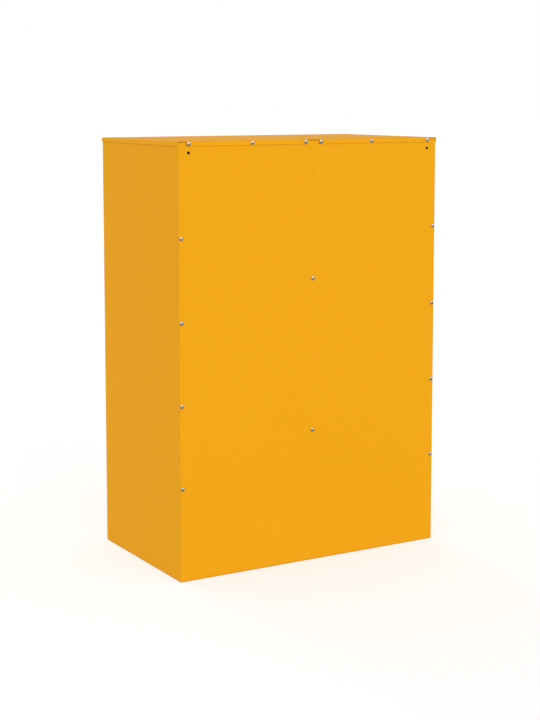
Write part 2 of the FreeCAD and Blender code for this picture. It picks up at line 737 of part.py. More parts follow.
def door(name, sign, row):
    """A folded tray with a letter slot, two ears for the flap's pin, and holes for its lock and pivots."""
    body = new_body(name)
    at_door(body, sign, row)
    inward = -sign
    edges = ("-pivot_inset", "door_width - pivot_inset")
    left, right = span(inward, *edges)
    pad(body, "XZ", "0", "door_depth", block(left, "0", right, "door_height"))
    hollow = block(f"{left} + gauge", "gauge", f"{right} - gauge", "door_height - gauge")
    pocket(body, "XZ", "gauge", "door_depth", hollow)
    folds = [("x", "0", "0"), ("x", "0", "door_height")]
    for edge in (left, right):
        folds += [("z", edge, "0"), ("y", edge, "0"), ("y", edge, "door_height")]
    rounded(body, "bend_radius", folds)
    slot = span(inward, "slot_middle - slot_width / 2", "slot_middle + slot_width / 2")
    lock_hole = disc(times(inward, "lock_reach"), "lock_height", "lock_barrel_radius + running_clearance")
    opening = block(slot[0], "slot_bottom", slot[1], "slot_top")
    pocket(body, "XZ", "-gauge", "2 * gauge", opening, lock_hole)
    nose = "flap_axis_depth - ear_nose"
    ear = block(nose, "slot_top - ear_height", "gauge", "slot_top")
    pad(body, "YZ", slot[0], f"{slot[0]} + gauge", ear)
    pad(body, "YZ", f"{slot[1]} - gauge", slot[1], ear)
    rounded(body, "ear_radius", [("x", nose, "slot_top"), ("x", nose, "slot_top - ear_height")])
    pin_hole = disc("flap_axis_depth", "flap_axis_height", "knuckle_bore")
    pocket(body, "YZ", f"{slot[0]} - gauge", f"{slot[1]} + gauge", pin_hole)
    pocket(body, "XY", "-gauge", "door_height + gauge", disc("0", "pivot_setback", "pivot_hole"))


def flap(name, sign, row):
    """A sheet rolled round the pin at its top, with a finger lip folded out along its bottom edge."""
    body = new_body(name)
    at_door(body, sign, row)
    inward = -sign
    reach = "slot_width / 2 - gauge - flap_side_play"
    left, right = span(inward, f"slot_middle - ({reach})", f"slot_middle + {reach}")
    wide = "slot_width / 2 + flap_overlap"
    wide_left, wide_right = span(inward, f"slot_middle - ({wide})", f"slot_middle + {wide}")
    eye = ("flap_axis_depth", "flap_axis_height")
    pad(body, "YZ", left, right, disc(*eye, "knuckle"), disc(*eye, "knuckle_bore"))
    shoulder = "flap_axis_height - flap_shoulder"
    plate = [
        (wide_left, "flap_bottom"),
        (wide_right, "flap_bottom"),
        (wide_right, shoulder),
        (right, shoulder),
        (right, "flap_axis_height"),
        (left, "flap_axis_height"),
        (left, shoulder),
        (wide_left, shoulder),
    ]
    plate_front = "flap_axis_depth + knuckle_bore"
    pad(body, "XZ", plate_front, f"{plate_front} + flap_gauge", plate)
    lip = block(f"{plate_front} - flap_lip", "flap_bottom", plate_front, "flap_bottom + flap_gauge")
    pad(body, "YZ", wide_left, wide_right, lip)
    rounded(body, "flap_bend_radius", [("x", f"{plate_front} + flap_gauge", "flap_bottom")])


def flap_pin(name, sign, row):
    """A plain pin through both ears, peened over at its ends."""
    body = new_body(name)
    at_door(body, sign, row)
    left, right = span(-sign, "slot_middle - slot_width / 2", "slot_middle + slot_width / 2")
    axis = ("flap_axis_depth", "flap_axis_height")
    pad(body, "YZ", left, right, disc(*axis, "flap_pin_radius"))
    pad(body, "YZ", f"{left} - flap_pin_head", left, disc(*axis, "flap_pin_head_radius"))
    pad(body, "YZ", right, f"{right} + flap_pin_head", disc(*axis, "flap_pin_head_radius"))
    for end in (f"{left} - flap_pin_head", f"{right} + flap_pin_head"):
        rim(body, "x", end, "flap_pin_head_radius", f"flap_pin_head * {DOMED_HEAD}")


def card_holder(name, sign, row):
    """A frame bonded to the door, and the blank card in the pocket behind its window."""
    frame = new_template(f"{name}_frame")
    card = new_template(f"{name}_card")
    left, right = span(-sign, "slot_middle - holder_width / 2", "slot_middle + holder_width / 2")
    low = "holder_top - holder_height"
    pad(frame, "XZ", "-holder_depth", "0", block(left, low, right, "holder_top"))
    corners = [("y", across, up) for across in (left, right) for up in (low, "holder_top")]
    rounded(frame, "holder_corner", corners)

    def inset(amount):
        top = f"holder_top - ({amount})"
        return block(f"{left} + {amount}", f"{low} + {amount}", f"{right} - ({amount})", top)

    pocket(frame, "XZ", "-holder_depth - gauge", "0", inset("holder_border"))
    card_pocket = inset("holder_border - card_lap")
    pocket(frame, "XZ", "-card_thickness - card_play", "0", card_pocket)
    pad(card, "XZ", "-card_thickness", "0", inset("holder_border - card_lap + card_play"))
    group_on_door(name, (frame, card), sign, row)


def lock(prefix, sign, row):
    """A cam lock: housing and nut fixed to the door, a plug that the key turns, and the cam on its end."""
    inward = -sign
    axis = (times(inward, "lock_reach"), "lock_height")

    housing = new_template(f"{prefix}_lock_barrel")
    bore = disc(*axis, "plug_radius + running_clearance")
    pad(housing, "XZ", "-lock_face", "0", disc(*axis, "lock_face_radius"), bore)
    pad(housing, "XZ", "0", "cam_depth - cam_gap", disc(*axis, "lock_barrel_radius"), bore)
    rim(housing, "y", "-lock_face", "lock_face_radius", f"lock_face * {FLAT_HEAD}")
    nut = new_template(f"{prefix}_lock_nut")
    corners = []
    for side in range(LOCK_NUT_SIDES):
        angle = 2 * math.pi * side / LOCK_NUT_SIDES
        across = f"{axis[0]} + {math.cos(angle):.6f} * lock_nut_radius"
        corners.append((across, f"lock_height + {math.sin(angle):.6f} * lock_nut_radius"))
    nut_hole = disc(*axis, "lock_barrel_radius + running_clearance")
    pad(nut, "XZ", "gauge", "gauge + lock_nut", corners, nut_hole)
    group_on_door(f"{prefix}_lock_housing", (housing, nut), sign, row)

    plug = new_template(f"{prefix}_plug_core")
    pad(plug, "XZ", "plug_recess - lock_face", "cam_depth", disc(*axis, "plug_radius"))
    keyway = block(
        f"{axis[0]} - keyway_width / 2",
        "lock_height - keyway_height / 2",
        f"{axis[0]} + keyway_width / 2",
        "lock_height + keyway_height / 2",
    )
    pocket(plug, "XZ", "-lock_face", "keyway_depth - lock_face", keyway)
    threaded_hole = disc(*axis, "cam_screw_radius + running_clearance")
    screw_end = "cam_depth + cam_thickness - cam_screw_length"
    pocket(plug, "XZ", f"{screw_end} - gauge / 2", "cam_depth", threaded_hole)
    screw = new_template(f"{prefix}_cam_screw")
    cam_back = "cam_depth + cam_thickness"
    pad(screw, "XZ", screw_end, cam_back, disc(*axis, "cam_screw_radius"))
    pad(screw, "XZ", cam_back, f"{cam_back} + cam_screw_head", disc(*axis, "cam_screw_head_radius"))
    screw_top = f"{cam_back} + cam_screw_head"
    rim(screw, "y", screw_top, "cam_screw_head_radius", f"cam_screw_head * {FLAT_HEAD}")
    group_on_door(f"{prefix}_lock_plug", (plug, screw), sign, row)

    cam = new_body(f"{prefix}_lock_cam")
    at_door(cam, sign, row)
    pad(cam, "XZ", "cam_depth", cam_back, disc(*axis, "cam_width / 2"))
    arm = block(
        f"{axis[0]} - cam_width / 2",
        "lock_height - cam_length",
        f"{axis[0]} + cam_width / 2",
        "lock_height",
    )
    pad(cam, "XZ", "cam_depth", cam_back, arm)
    tips = [("y", f"{axis[0]} + {end} * cam_width / 2", "lock_height - cam_length") for end in (-1, 1)]
    rounded(cam, "cam_corner", tips)
    pocket(cam, "XZ", "cam_depth - gauge", f"{cam_back} + gauge", threaded_hole)


# ---- the cabinet ----

for column, sign in COLUMNS.items():
    side_panel(column, sign)
back_panel()
lid()
top_rail()
bottom_panel()
centre_stile()
centre_divider()
for level in SHELVES:
    for column, sign in COLUMNS.items():
        shelf(level, column, sign)
body_screws()
panel_rivets()
hinge_hardware()
for row, level in enumerate(ROWS):
    for column, sign in COLUMNS.items():
        prefix = f"{level}_{column}"
        door(f"{prefix}_door", sign, row)
        flap(f"{prefix}_flap", sign, row)
        flap_pin(f"{prefix}_flap_pin", sign, row)
        card_holder(f"{prefix}_card_holder", sign, row)
        lock(prefix, sign, row)

doc.recompute()
for piece in doc.Objects:
    if "Invalid" in piece.State or "Error" in piece.State:
        raise RuntimeError(f"{piece.Label} did not rebuild")
for node in nodes:
    if node.Shape.isNull() or not node.Shape.isValid():
        raise RuntimeError(f"{node.Label} has no sound shape")

os.makedirs("parts", exist_ok=True)
for node in nodes:
    node.Shape.exportStep(f"parts/{node.Label}.step")
print(f"{len(nodes)} nodes")
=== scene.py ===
import json
import math

import bmesh
import bpy
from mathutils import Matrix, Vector


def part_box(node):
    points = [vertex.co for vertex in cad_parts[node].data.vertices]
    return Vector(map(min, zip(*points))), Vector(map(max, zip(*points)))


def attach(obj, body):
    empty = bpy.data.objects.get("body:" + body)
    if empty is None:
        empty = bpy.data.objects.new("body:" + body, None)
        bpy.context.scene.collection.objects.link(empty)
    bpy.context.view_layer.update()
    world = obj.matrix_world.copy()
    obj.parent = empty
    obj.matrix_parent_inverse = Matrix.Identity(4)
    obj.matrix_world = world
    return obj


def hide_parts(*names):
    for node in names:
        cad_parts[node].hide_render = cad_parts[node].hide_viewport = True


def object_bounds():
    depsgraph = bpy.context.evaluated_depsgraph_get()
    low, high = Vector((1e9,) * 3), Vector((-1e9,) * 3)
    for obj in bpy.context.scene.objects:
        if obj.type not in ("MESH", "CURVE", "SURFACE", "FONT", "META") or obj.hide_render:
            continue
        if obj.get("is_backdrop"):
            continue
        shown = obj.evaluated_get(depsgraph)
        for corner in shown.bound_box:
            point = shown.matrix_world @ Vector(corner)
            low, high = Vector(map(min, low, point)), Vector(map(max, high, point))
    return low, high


# A free-standing letterbox cabinet of folded, powder-coated sheet steel: two columns of three
# boxes, each with a door, a letter flap, a card holder and a cam lock. Metres, +Z up, doors
# towards -Y, origin on the floor.
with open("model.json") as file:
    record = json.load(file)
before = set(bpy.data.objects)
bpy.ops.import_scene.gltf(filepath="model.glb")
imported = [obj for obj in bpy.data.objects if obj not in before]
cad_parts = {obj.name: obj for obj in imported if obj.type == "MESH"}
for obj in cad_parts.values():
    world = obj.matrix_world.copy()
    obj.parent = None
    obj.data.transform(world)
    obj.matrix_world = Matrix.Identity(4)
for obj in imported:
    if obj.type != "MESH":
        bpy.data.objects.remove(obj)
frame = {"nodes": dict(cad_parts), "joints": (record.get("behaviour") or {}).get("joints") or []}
cad_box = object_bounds()


# ---- camera ----
# A long lens behind the cabinet's right-hand rear corner, tipped a little down from above the
# lid. The lens is shifted so that the cabinet stands in the middle of the frame.
camera = bpy.data.objects.new("camera", bpy.data.cameras.new("camera"))
bpy.context.scene.collection.objects.link(camera)
bpy.context.scene.camera = camera
camera.location = (1.8071, 3.0627, 1.0431)
tip_down = 6.304
bearing = 149.428
camera.rotation_euler = (math.radians(90 - tip_down), 0, math.radians(bearing))
camera.data.lens = 76.8
camera.data.shift_y = -0.13
camera.data.clip_end = 200


# ---- panels: lid, sides, back, bottom, rails, stile, divider and shelves ----
# Sheet steel of 1 mm, cut and folded, then sprayed with a mustard powder and baked. The coat is
# satin with a fine orange peel; its folds and cut edges carry a painted highlight, and its creases,
# seams and holes a painted shade.
def named_sockets(group, kinds, way):
    """Give a node group its named inputs or outputs."""
    for name, kind, number in kinds:
        socket = group.interface.new_socket(name=name, in_out=way, socket_type=kind)
        if number is not None:
            socket.default_value = number


def wire(tree, kind, settings=(), **inputs):
    """Add a node, set its options, and feed its inputs from numbers or other nodes' outputs.

    An underscore in an input's name stands for a space, and a name like input_1 is a position.
    """
    node = tree.nodes.new(kind)
    for option, choice in dict(settings).items():
        setattr(node, option, choice)
    for name, source in inputs.items():
        last = name.rsplit("_", 1)[-1]
        socket = node.inputs[int(last) if last.isdigit() else name.replace("_", " ")]
        if isinstance(source, bpy.types.NodeSocket):
            tree.links.new(source, socket)
        else:
            socket.default_value = source
    return node


def coat_group():
    """Orange peel of a baked powder: its colour, roughness and height over the surface."""
    group = bpy.data.node_groups.new("orange_peel", "ShaderNodeTree")
    named_sockets(group, [
        ("Colour", "NodeSocketColor", (0.8, 0.4, 0.1, 1)),
        ("Thin Colour", "NodeSocketColor", (0.9, 0.5, 0.1, 1)),
        ("Peel Size", "NodeSocketFloat", 0.002),
        ("Drift", "NodeSocketFloat", 0.5),
        ("Roughness", "NodeSocketFloat", 0.4),
    ], "INPUT")
    named_sockets(group, [
        ("Colour", "NodeSocketColor", None),
        ("Roughness", "NodeSocketFloat", None),
        ("Height", "NodeSocketFloat", None),
    ], "OUTPUT")
    waves_per_metre, clouds_per_metre = 95.0, 4.5
    wave_share, roughness_drift = 0.35, 0.08
    given = group.nodes.new("NodeGroupInput").outputs
    place = wire(group, "ShaderNodeTexCoord").outputs["Object"]
    density = wire(group, "ShaderNodeMath", {"operation": "DIVIDE"}, input_0=1.0,
                   input_1=given["Peel Size"])
    peel = wire(group, "ShaderNodeTexNoise", Vector=place, Scale=density.outputs[0], Detail=2.0)
    wave = wire(group, "ShaderNodeTexNoise", Vector=place, Scale=waves_per_metre, Detail=1.0)
    cloud = wire(group, "ShaderNodeTexNoise", Vector=place, Scale=clouds_per_metre, Detail=2.0)
    height = wire(group, "ShaderNodeMix", {"data_type": "FLOAT"}, Factor=wave_share,
                  A=peel.outputs[0], B=wave.outputs[0])
    share = wire(group, "ShaderNodeMath", {"operation": "MULTIPLY"}, input_0=cloud.outputs[0],
                 input_1=given["Drift"])
    colour = wire(group, "ShaderNodeMix", {"data_type": "RGBA"}, Factor=share.outputs[0],
                  input_6=given["Colour"], input_7=given["Thin Colour"])
    rough = wire(group, "ShaderNodeMath", {"operation": "MULTIPLY_ADD"}, input_0=peel.outputs[0],
                 input_1=roughness_drift, input_2=given["Roughness"])
    out = group.nodes.new("NodeGroupOutput").inputs
    group.links.new(colour.outputs[2], out["Colour"])
    group.links.new(rough.outputs[0], out["Roughness"])
    group.links.new(height.outputs[0], out["Height"])
    return group


def edge_group():
    """A mask of folded and cut edges for a painted highlight, a mask of painted shade in creases and seams,
    and a normal that rounds an edge.
    """
    group = bpy.data.node_groups.new("soft_edges", "ShaderNodeTree")
    named_sockets(group, [
        ("Radius", "NodeSocketFloat", 0.001),
        ("Reach", "NodeSocketFloat", 4.0),
        ("Seam Width", "NodeSocketFloat", 0.003),
    ], "INPUT")
    named_sockets(group, [
        ("Edge", "NodeSocketFloat", None),
        ("Seam", "NodeSocketFloat", None),
        ("Normal", "NodeSocketVector", None),
    ], "OUTPUT")
    shade_begins, shade_is_full = 0.85, 0.25
    given = group.nodes.new("NodeGroupInput").outputs
    # The edge mask is for a painted highlight: it marks where the rounded normal turns from the true one,
    # along folds and cut edges.
    bevel = wire(group, "ShaderNodeBevel", {"samples": 4}, Radius=given["Radius"])
    true_normal = wire(group, "ShaderNodeNewGeometry").outputs["Normal"]
    same = wire(group, "ShaderNodeVectorMath", {"operation": "DOT_PRODUCT"},
                input_0=bevel.outputs[0], input_1=true_normal)
    turned = wire(group, "ShaderNodeMath", {"operation": "SUBTRACT"}, input_0=1.0,
                  input_1=same.outputs["Value"])
    edge = wire(group, "ShaderNodeMath", {"operation": "MULTIPLY", "use_clamp": True},
                input_0=turned.outputs[0], input_1=given["Reach"])
    # Painted shade: ambient occlusion within the width marks creases, seams and holes, to be painted darker.
    shade = wire(group, "ShaderNodeAmbientOcclusion", {"samples": 6}, Distance=given["Seam Width"])
    painted_shade_mask = wire(group, "ShaderNodeMapRange", Value=shade.outputs["AO"], From_Min=shade_begins,
                From_Max=shade_is_full, To_Min=0.0, To_Max=1.0)
    out = group.nodes.new("NodeGroupOutput").inputs
    group.links.new(edge.outputs[0], out["Edge"])
    group.links.new(painted_shade_mask.outputs[0], out["Seam"])
    group.links.new(bevel.outputs[0], out["Normal"])
    return group


def new_material(name, **shader_values):
    """A material with one Principled shader, and its node tree."""
    material = bpy.data.materials.new(name)
    material.use_nodes = True
    tree = material.node_tree
    shader = tree.nodes["Principled BSDF"]
    for socket, number in shader_values.items():
        shader.inputs[socket.replace("_", " ")].default_value = number
    return material, tree, shader


def place_group(tree, group, **inputs):
    """Put a shader group into a material with that material's own values."""
    node = tree.nodes.new("ShaderNodeGroup")
    node.node_tree = group
    for name, number in inputs.items():
        node.inputs[name.replace("_", " ")].default_value = number
    return node


def bumped(tree, shader, height, distance, strength, normal=None):
    """Raise a surface by a height, over a normal if there is one."""
    bump = wire(tree, "ShaderNodeBump", Height=height, Distance=distance, Strength=strength)
    if normal:
        tree.links.new(normal, bump.inputs["Normal"])
    tree.links.new(bump.outputs[0], shader.inputs["Normal"])


orange_peel = coat_group()
soft_edges = edge_group()


def powder_coat():
    """Mustard powder coat, satin."""
    mustard, thin_mustard = (0.905, 0.397, 0.002, 1), (0.925, 0.413, 0.004, 1)
    # The edge colour is a painted highlight, and the seam colour is a painted shade.
    edge_highlight_colour, painted_shade_colour, painted_shade_share = (0.96, 0.50, 0.03, 1), (0.30, 0.09, 0.002, 1), 0.9
    material, tree, shader = new_material("mustard_powder_coat", Specular_IOR_Level=0.12)
    peel = place_group(tree, orange_peel, Colour=mustard, Thin_Colour=thin_mustard,
                       Peel_Size=0.0024, Drift=1.0, Roughness=0.64)
    edges = place_group(tree, soft_edges, Radius=0.0007, Reach=1.6, Seam_Width=0.004)
    # Painted highlight: a lighter mustard along folds and cut edges.
    highlighted_edges = wire(tree, "ShaderNodeMix", {"data_type": "RGBA"}, Factor=edges.outputs["Edge"],
                input_6=peel.outputs["Colour"], input_7=edge_highlight_colour)
    # Painted shade: a dark mustard in creases, seams and holes.
    share = wire(tree, "ShaderNodeMath", {"operation": "MULTIPLY"},
                 input_0=edges.outputs["Seam"], input_1=painted_shade_share)
    colour = wire(tree, "ShaderNodeMix", {"data_type": "RGBA"}, Factor=share.outputs[0],
                  input_6=highlighted_edges.outputs[2], input_7=painted_shade_colour)
    tree.links.new(colour.outputs[2], shader.inputs["Base Color"])
    tree.links.new(peel.outputs["Roughness"], shader.inputs["Roughness"])
    bumped(tree, shader, peel.outputs["Height"], distance=0.00012, strength=0.35,
           normal=edges.outputs["Normal"])
    return material


def paint(name, material):
    """Give a CAD node its finish."""
    for holder in frame["nodes"][name].material_slots:
        holder.material = material


coat = powder_coat()
columns = ("left", "right")
panels = ["left_side_panel", "right_side_panel", "back_panel", "lid", "bottom_panel", "top_rail",
          "centre_stile", "centre_divider"]
panels += [f"{level}_{column}_shelf" for level in ("lower", "upper") for column in columns]
for panel in panels:
    paint(panel, coat)


# ---- screws of the back and of the lid ----
# M4 machine screws with a pan head and a cross recess, nickel plated and bright. Four go down
# each side of the back and two into the divider; six hold the lid by its rear skirt.
def metal_group():
    """Grain of a plated or drawn metal: streaks one way, and patches of different plating."""
    group = bpy.data.node_groups.new("metal_grain", "ShaderNodeTree")
    named_sockets(group, [
        ("Colour", "NodeSocketColor", (0.7, 0.7, 0.7, 1)),
        ("Patch Colour", "NodeSocketColor", (0.6, 0.65, 0.7, 1)),
        ("Streaks", "NodeSocketVector", (60, 1500, 1500)),
        ("Patches", "NodeSocketFloat", 300.0),
        ("Roughness", "NodeSocketFloat", 0.3),
        ("Spread", "NodeSocketFloat", 0.1),
    ], "INPUT")
    named_sockets(group, [
        ("Colour", "NodeSocketColor", None),
        ("Roughness", "NodeSocketFloat", None),
        ("Height", "NodeSocketFloat", None),
    ], "OUTPUT")
    given = group.nodes.new("NodeGroupInput").outputs
    place = wire(group, "ShaderNodeTexCoord").outputs["Object"]
    drawn = wire(group, "ShaderNodeVectorMath", {"operation": "MULTIPLY"}, input_0=place,
                 input_1=given["Streaks"])
    streak = wire(group, "ShaderNodeTexNoise", Vector=drawn.outputs[0], Scale=1.0, Detail=3.0)
    patch = wire(group, "ShaderNodeTexNoise", Vector=place, Scale=given["Patches"], Detail=1.0)
    colour = wire(group, "ShaderNodeMix", {"data_type": "RGBA"}, Factor=patch.outputs[0],
                  input_6=given["Colour"], input_7=given["Patch Colour"])
    rough = wire(group, "ShaderNodeMath", {"operation": "MULTIPLY_ADD"}, input_0=streak.outputs[0],
                 input_1=given["Spread"], input_2=given["Roughness"])
    out = group.nodes.new("NodeGroupOutput").inputs
    group.links.new(colour.outputs[2], out["Colour"])
    group.links.new(rough.outputs[0], out["Roughness"])
    group.links.new(streak.outputs[0], out["Height"])
    return group


metal_grain = metal_group()


def metal(name, colour, patch, streaks, patches, roughness, spread, bump=0.1):
    """A plated or drawn metal."""
    material, tree, shader = new_material(name, Metallic=1.0)
    grain = place_group(tree, metal_grain, Colour=(*colour, 1), Patch_Colour=(*patch, 1),
                        Streaks=streaks, Patches=patches, Roughness=roughness, Spread=spread)
    tree.links.new(grain.outputs["Colour"], shader.inputs["Base Color"])
    tree.links.new(grain.outputs["Roughness"], shader.inputs["Roughness"])
    bumped(tree, shader, grain.outputs["Height"], distance=0.00003, strength=bump)
    return material


def fastener_tree():
    """Geometry Nodes: a headed screw, pin or rivet at each point, along that point's own facing."""
    tree = bpy.data.node_groups.new("headed_fastener", "GeometryNodeTree")
    named_sockets(tree, [
        ("Points", "NodeSocketGeometry", None),
        ("Head Radius", "NodeSocketFloat", 0.004),
        ("Head Height", "NodeSocketFloat", 0.002),
        ("Dome", "NodeSocketFloat", 0.5),
        ("Shank Radius", "NodeSocketFloat", 0.002),
        ("Shank Length", "NodeSocketFloat", 0.008),
        ("Cross Recess", "NodeSocketBool", False),
        ("Recess Length", "NodeSocketFloat", 0.0046),
        ("Recess Width", "NodeSocketFloat", 0.0009),
        ("Recess Depth", "NodeSocketFloat", 0.0013),
        ("Set End", "NodeSocketBool", False),
        ("Turn Seed", "NodeSocketInt", 0),
        ("Finish", "NodeSocketMaterial", None),
    ], "INPUT")
    named_sockets(tree, [("Fasteners", "NodeSocketGeometry", None)], "OUTPUT")
    given = tree.nodes.new("NodeGroupInput").outputs

    # The head is a short cylinder whose top is drawn into a dome with a steep shoulder.
    shoulder_power = 4.5
    head = wire(tree, "GeometryNodeMeshCylinder", Vertices=40, Side_Segments=2, Fill_Segments=9,
                Radius=given["Head Radius"], Depth=given["Head Height"])
    spot = wire(tree, "GeometryNodeInputPosition").outputs[0]
    flat = wire(tree, "ShaderNodeVectorMath", {"operation": "MULTIPLY"}, input_0=spot,
                input_1=(1, 1, 0))
    out_from = wire(tree, "ShaderNodeVectorMath", {"operation": "LENGTH"}, input_0=flat.outputs[0])
    share = wire(tree, "ShaderNodeMath", {"operation": "DIVIDE"}, input_0=out_from.outputs["Value"],
                 input_1=given["Head Radius"])
    steep = wire(tree, "ShaderNodeMath", {"operation": "POWER"}, input_0=share.outputs[0],
                 input_1=shoulder_power)
    fall = wire(tree, "ShaderNodeMath", {"operation": "MULTIPLY"}, input_0=steep.outputs[0],
                input_1=given["Dome"])
    keep = wire(tree, "ShaderNodeMath", {"operation": "SUBTRACT"}, input_0=1.0,
                input_1=fall.outputs[0])
    half = wire(tree, "ShaderNodeMath", {"operation": "MULTIPLY"}, input_0=given["Head Height"],
                input_1=0.5)
    lift = wire(tree, "ShaderNodeCombineXYZ", Z=half.outputs[0])
    raised = wire(tree, "ShaderNodeVectorMath", {"operation": "ADD"}, input_0=spot,
                  input_1=lift.outputs[0])
    squeeze = wire(tree, "ShaderNodeCombineXYZ", X=1.0, Y=1.0, Z=keep.outputs[0])
    domed = wire(tree, "ShaderNodeVectorMath", {"operation": "MULTIPLY"}, input_0=raised.outputs[0],
                 input_1=squeeze.outputs[0])
    pan = wire(tree, "GeometryNodeSetPosition", Geometry=head.outputs["Mesh"],
               Position=domed.outputs[0])

    # The shank runs back from inside the head; a set end is a second head, upside down, at its
    # far end.
    bite_share = 0.3
    bite = wire(tree, "ShaderNodeMath", {"operation": "MULTIPLY"}, input_0=given["Head Height"],
                input_1=bite_share)
    depth = wire(tree, "ShaderNodeMath", {"operation": "ADD"}, input_0=given["Shank Length"],
                 input_1=bite.outputs[0])
    shank = wire(tree, "GeometryNodeMeshCylinder", Vertices=24, Radius=given["Shank Radius"],
                 Depth=depth.outputs[0])
    far_end = wire(tree, "ShaderNodeMath", {"operation": "SUBTRACT"}, input_0=bite.outputs[0],
                   input_1=given["Shank Length"])
    middle = wire(tree, "ShaderNodeMath", {"operation": "MULTIPLY"}, input_0=far_end.outputs[0],
                  input_1=0.5)
    shank_place = wire(tree, "ShaderNodeCombineXYZ", Z=middle.outputs[0])
    shank_low = wire(tree, "GeometryNodeTransform", Geometry=shank.outputs["Mesh"],
                     Translation=shank_place.outputs[0])
    far_place = wire(tree, "ShaderNodeCombineXYZ", Z=far_end.outputs[0])
    far = wire(tree, "GeometryNodeTransform", Geometry=pan.outputs[0],
               Translation=far_place.outputs[0], Rotation=(math.pi, 0, 0))
    set_end = wire(tree, "GeometryNodeSwitch", {"input_type": "GEOMETRY"}, Switch=given["Set End"],
                   input_2=far.outputs[0])
    bodies = wire(tree, "GeometryNodeMeshBoolean", {"operation": "UNION", "solver": "EXACT"})
    for part in (pan.outputs[0], shank_low.outputs[0], set_end.outputs[0]):
        tree.links.new(part, bodies.inputs["Mesh"])

    # The cross recess is two crossed bars and a cone, cut out of the head.
    cone_tip = 0.0002
    deep = wire(tree, "ShaderNodeMath", {"operation": "MULTIPLY"}, input_0=given["Recess Depth"],
                input_1=2.0)
    bar_size = wire(tree, "ShaderNodeCombineXYZ", X=given["Recess Length"],
                    Y=given["Recess Width"], Z=deep.outputs[0])
    bar = wire(tree, "GeometryNodeMeshCube", Size=bar_size.outputs[0])
    crossbar = wire(tree, "GeometryNodeTransform", Geometry=bar.outputs["Mesh"],
                    Rotation=(0, 0, math.pi / 2))
    cone = wire(tree, "GeometryNodeMeshCone", Vertices=20, Radius_Top=cone_tip,
                Radius_Bottom=given["Recess Width"], Depth=deep.outputs[0])
    point_down = wire(tree, "GeometryNodeTransform", Geometry=cone.outputs["Mesh"],
                      Rotation=(math.pi, 0, 0))
    cutter = wire(tree, "GeometryNodeMeshBoolean", {"operation": "UNION", "solver": "EXACT"})
    for part in (bar.outputs["Mesh"], crossbar.outputs[0], point_down.outputs[0]):
        tree.links.new(part, cutter.inputs["Mesh"])
    top = wire(tree, "ShaderNodeCombineXYZ", Z=given["Head Height"])
    cutter_up = wire(tree, "GeometryNodeTransform", Geometry=cutter.outputs[0],
                     Translation=top.outputs[0])
    cut = wire(tree, "GeometryNodeMeshBoolean", {"operation": "DIFFERENCE", "solver": "EXACT"},
               input_0=bodies.outputs[0], input_1=cutter_up.outputs[0])
    whole = wire(tree, "GeometryNodeSwitch", {"input_type": "GEOMETRY"},
                 Switch=given["Cross Recess"], input_1=bodies.outputs[0], input_2=cut.outputs[0])
    return tree, given, whole.outputs[0]


def on_points(tree, given, shape, turned):
    """Finish a tree: put a shape on every point, facing its way, realized and with its finish."""
    crease_angle = math.radians(34)
    facing = wire(tree, "GeometryNodeInputNamedAttribute", {"data_type": "FLOAT_VECTOR"},
                  Name="facing")
    aim = wire(tree, "FunctionNodeAlignRotationToVector", {"axis": "Z"}, Vector=facing.outputs[0])
    rotation = aim.outputs[0]
    if turned:
        turn = wire(tree, "FunctionNodeRandomValue", {"data_type": "FLOAT"},
                    Seed=given["Turn Seed"])
        turn.inputs[3].default_value = math.tau
        spin = wire(tree, "FunctionNodeAxisAngleToRotation", Axis=(0, 0, 1), Angle=turn.outputs[1])
        both = wire(tree, "FunctionNodeRotateRotation", {"rotation_space": "LOCAL"},
                    Rotation=rotation, Rotate_By=spin.outputs[0])
        rotation = both.outputs[0]
    angle = wire(tree, "GeometryNodeInputMeshEdgeAngle")
    crease = wire(tree, "FunctionNodeCompare", {"data_type": "FLOAT", "operation": "GREATER_THAN"},
                  A=angle.outputs[0], B=crease_angle)
    smooth = wire(tree, "GeometryNodeSetShadeSmooth", {"domain": "FACE"}, Geometry=shape,
                  Shade_Smooth=True)
    sharp = wire(tree, "GeometryNodeSetShadeSmooth", {"domain": "EDGE"},
                 Geometry=smooth.outputs[0], Selection=crease.outputs[0], Shade_Smooth=False)
    spread = wire(tree, "GeometryNodeInstanceOnPoints", Points=given["Points"],
                  Instance=sharp.outputs[0], Rotation=rotation)
    real = wire(tree, "GeometryNodeRealizeInstances", Geometry=spread.outputs[0])
    done = wire(tree, "GeometryNodeSetMaterial", Geometry=real.outputs[0], Material=given["Finish"])
    tree.links.new(done.outputs[0], tree.nodes.new("NodeGroupOutput").inputs[0])
    return tree


def without_slivers(mesh):
    """Split a cut mesh's flat faces into triangles, and drop the ones that have no area."""
    speck = 0.000001
    shape = bmesh.new()
    shape.from_mesh(mesh)
    bmesh.ops.remove_doubles(shape, verts=shape.verts, dist=speck)
    bmesh.ops.dissolve_degenerate(shape, dist=speck, edges=shape.edges)
    bmesh.ops.triangulate(shape, faces=shape.faces, quad_method="BEAUTY", ngon_method="BEAUTY")
    bmesh.ops.dissolve_degenerate(shape, dist=speck, edges=shape.edges)
    shape.to_mesh(mesh)
    shape.free()


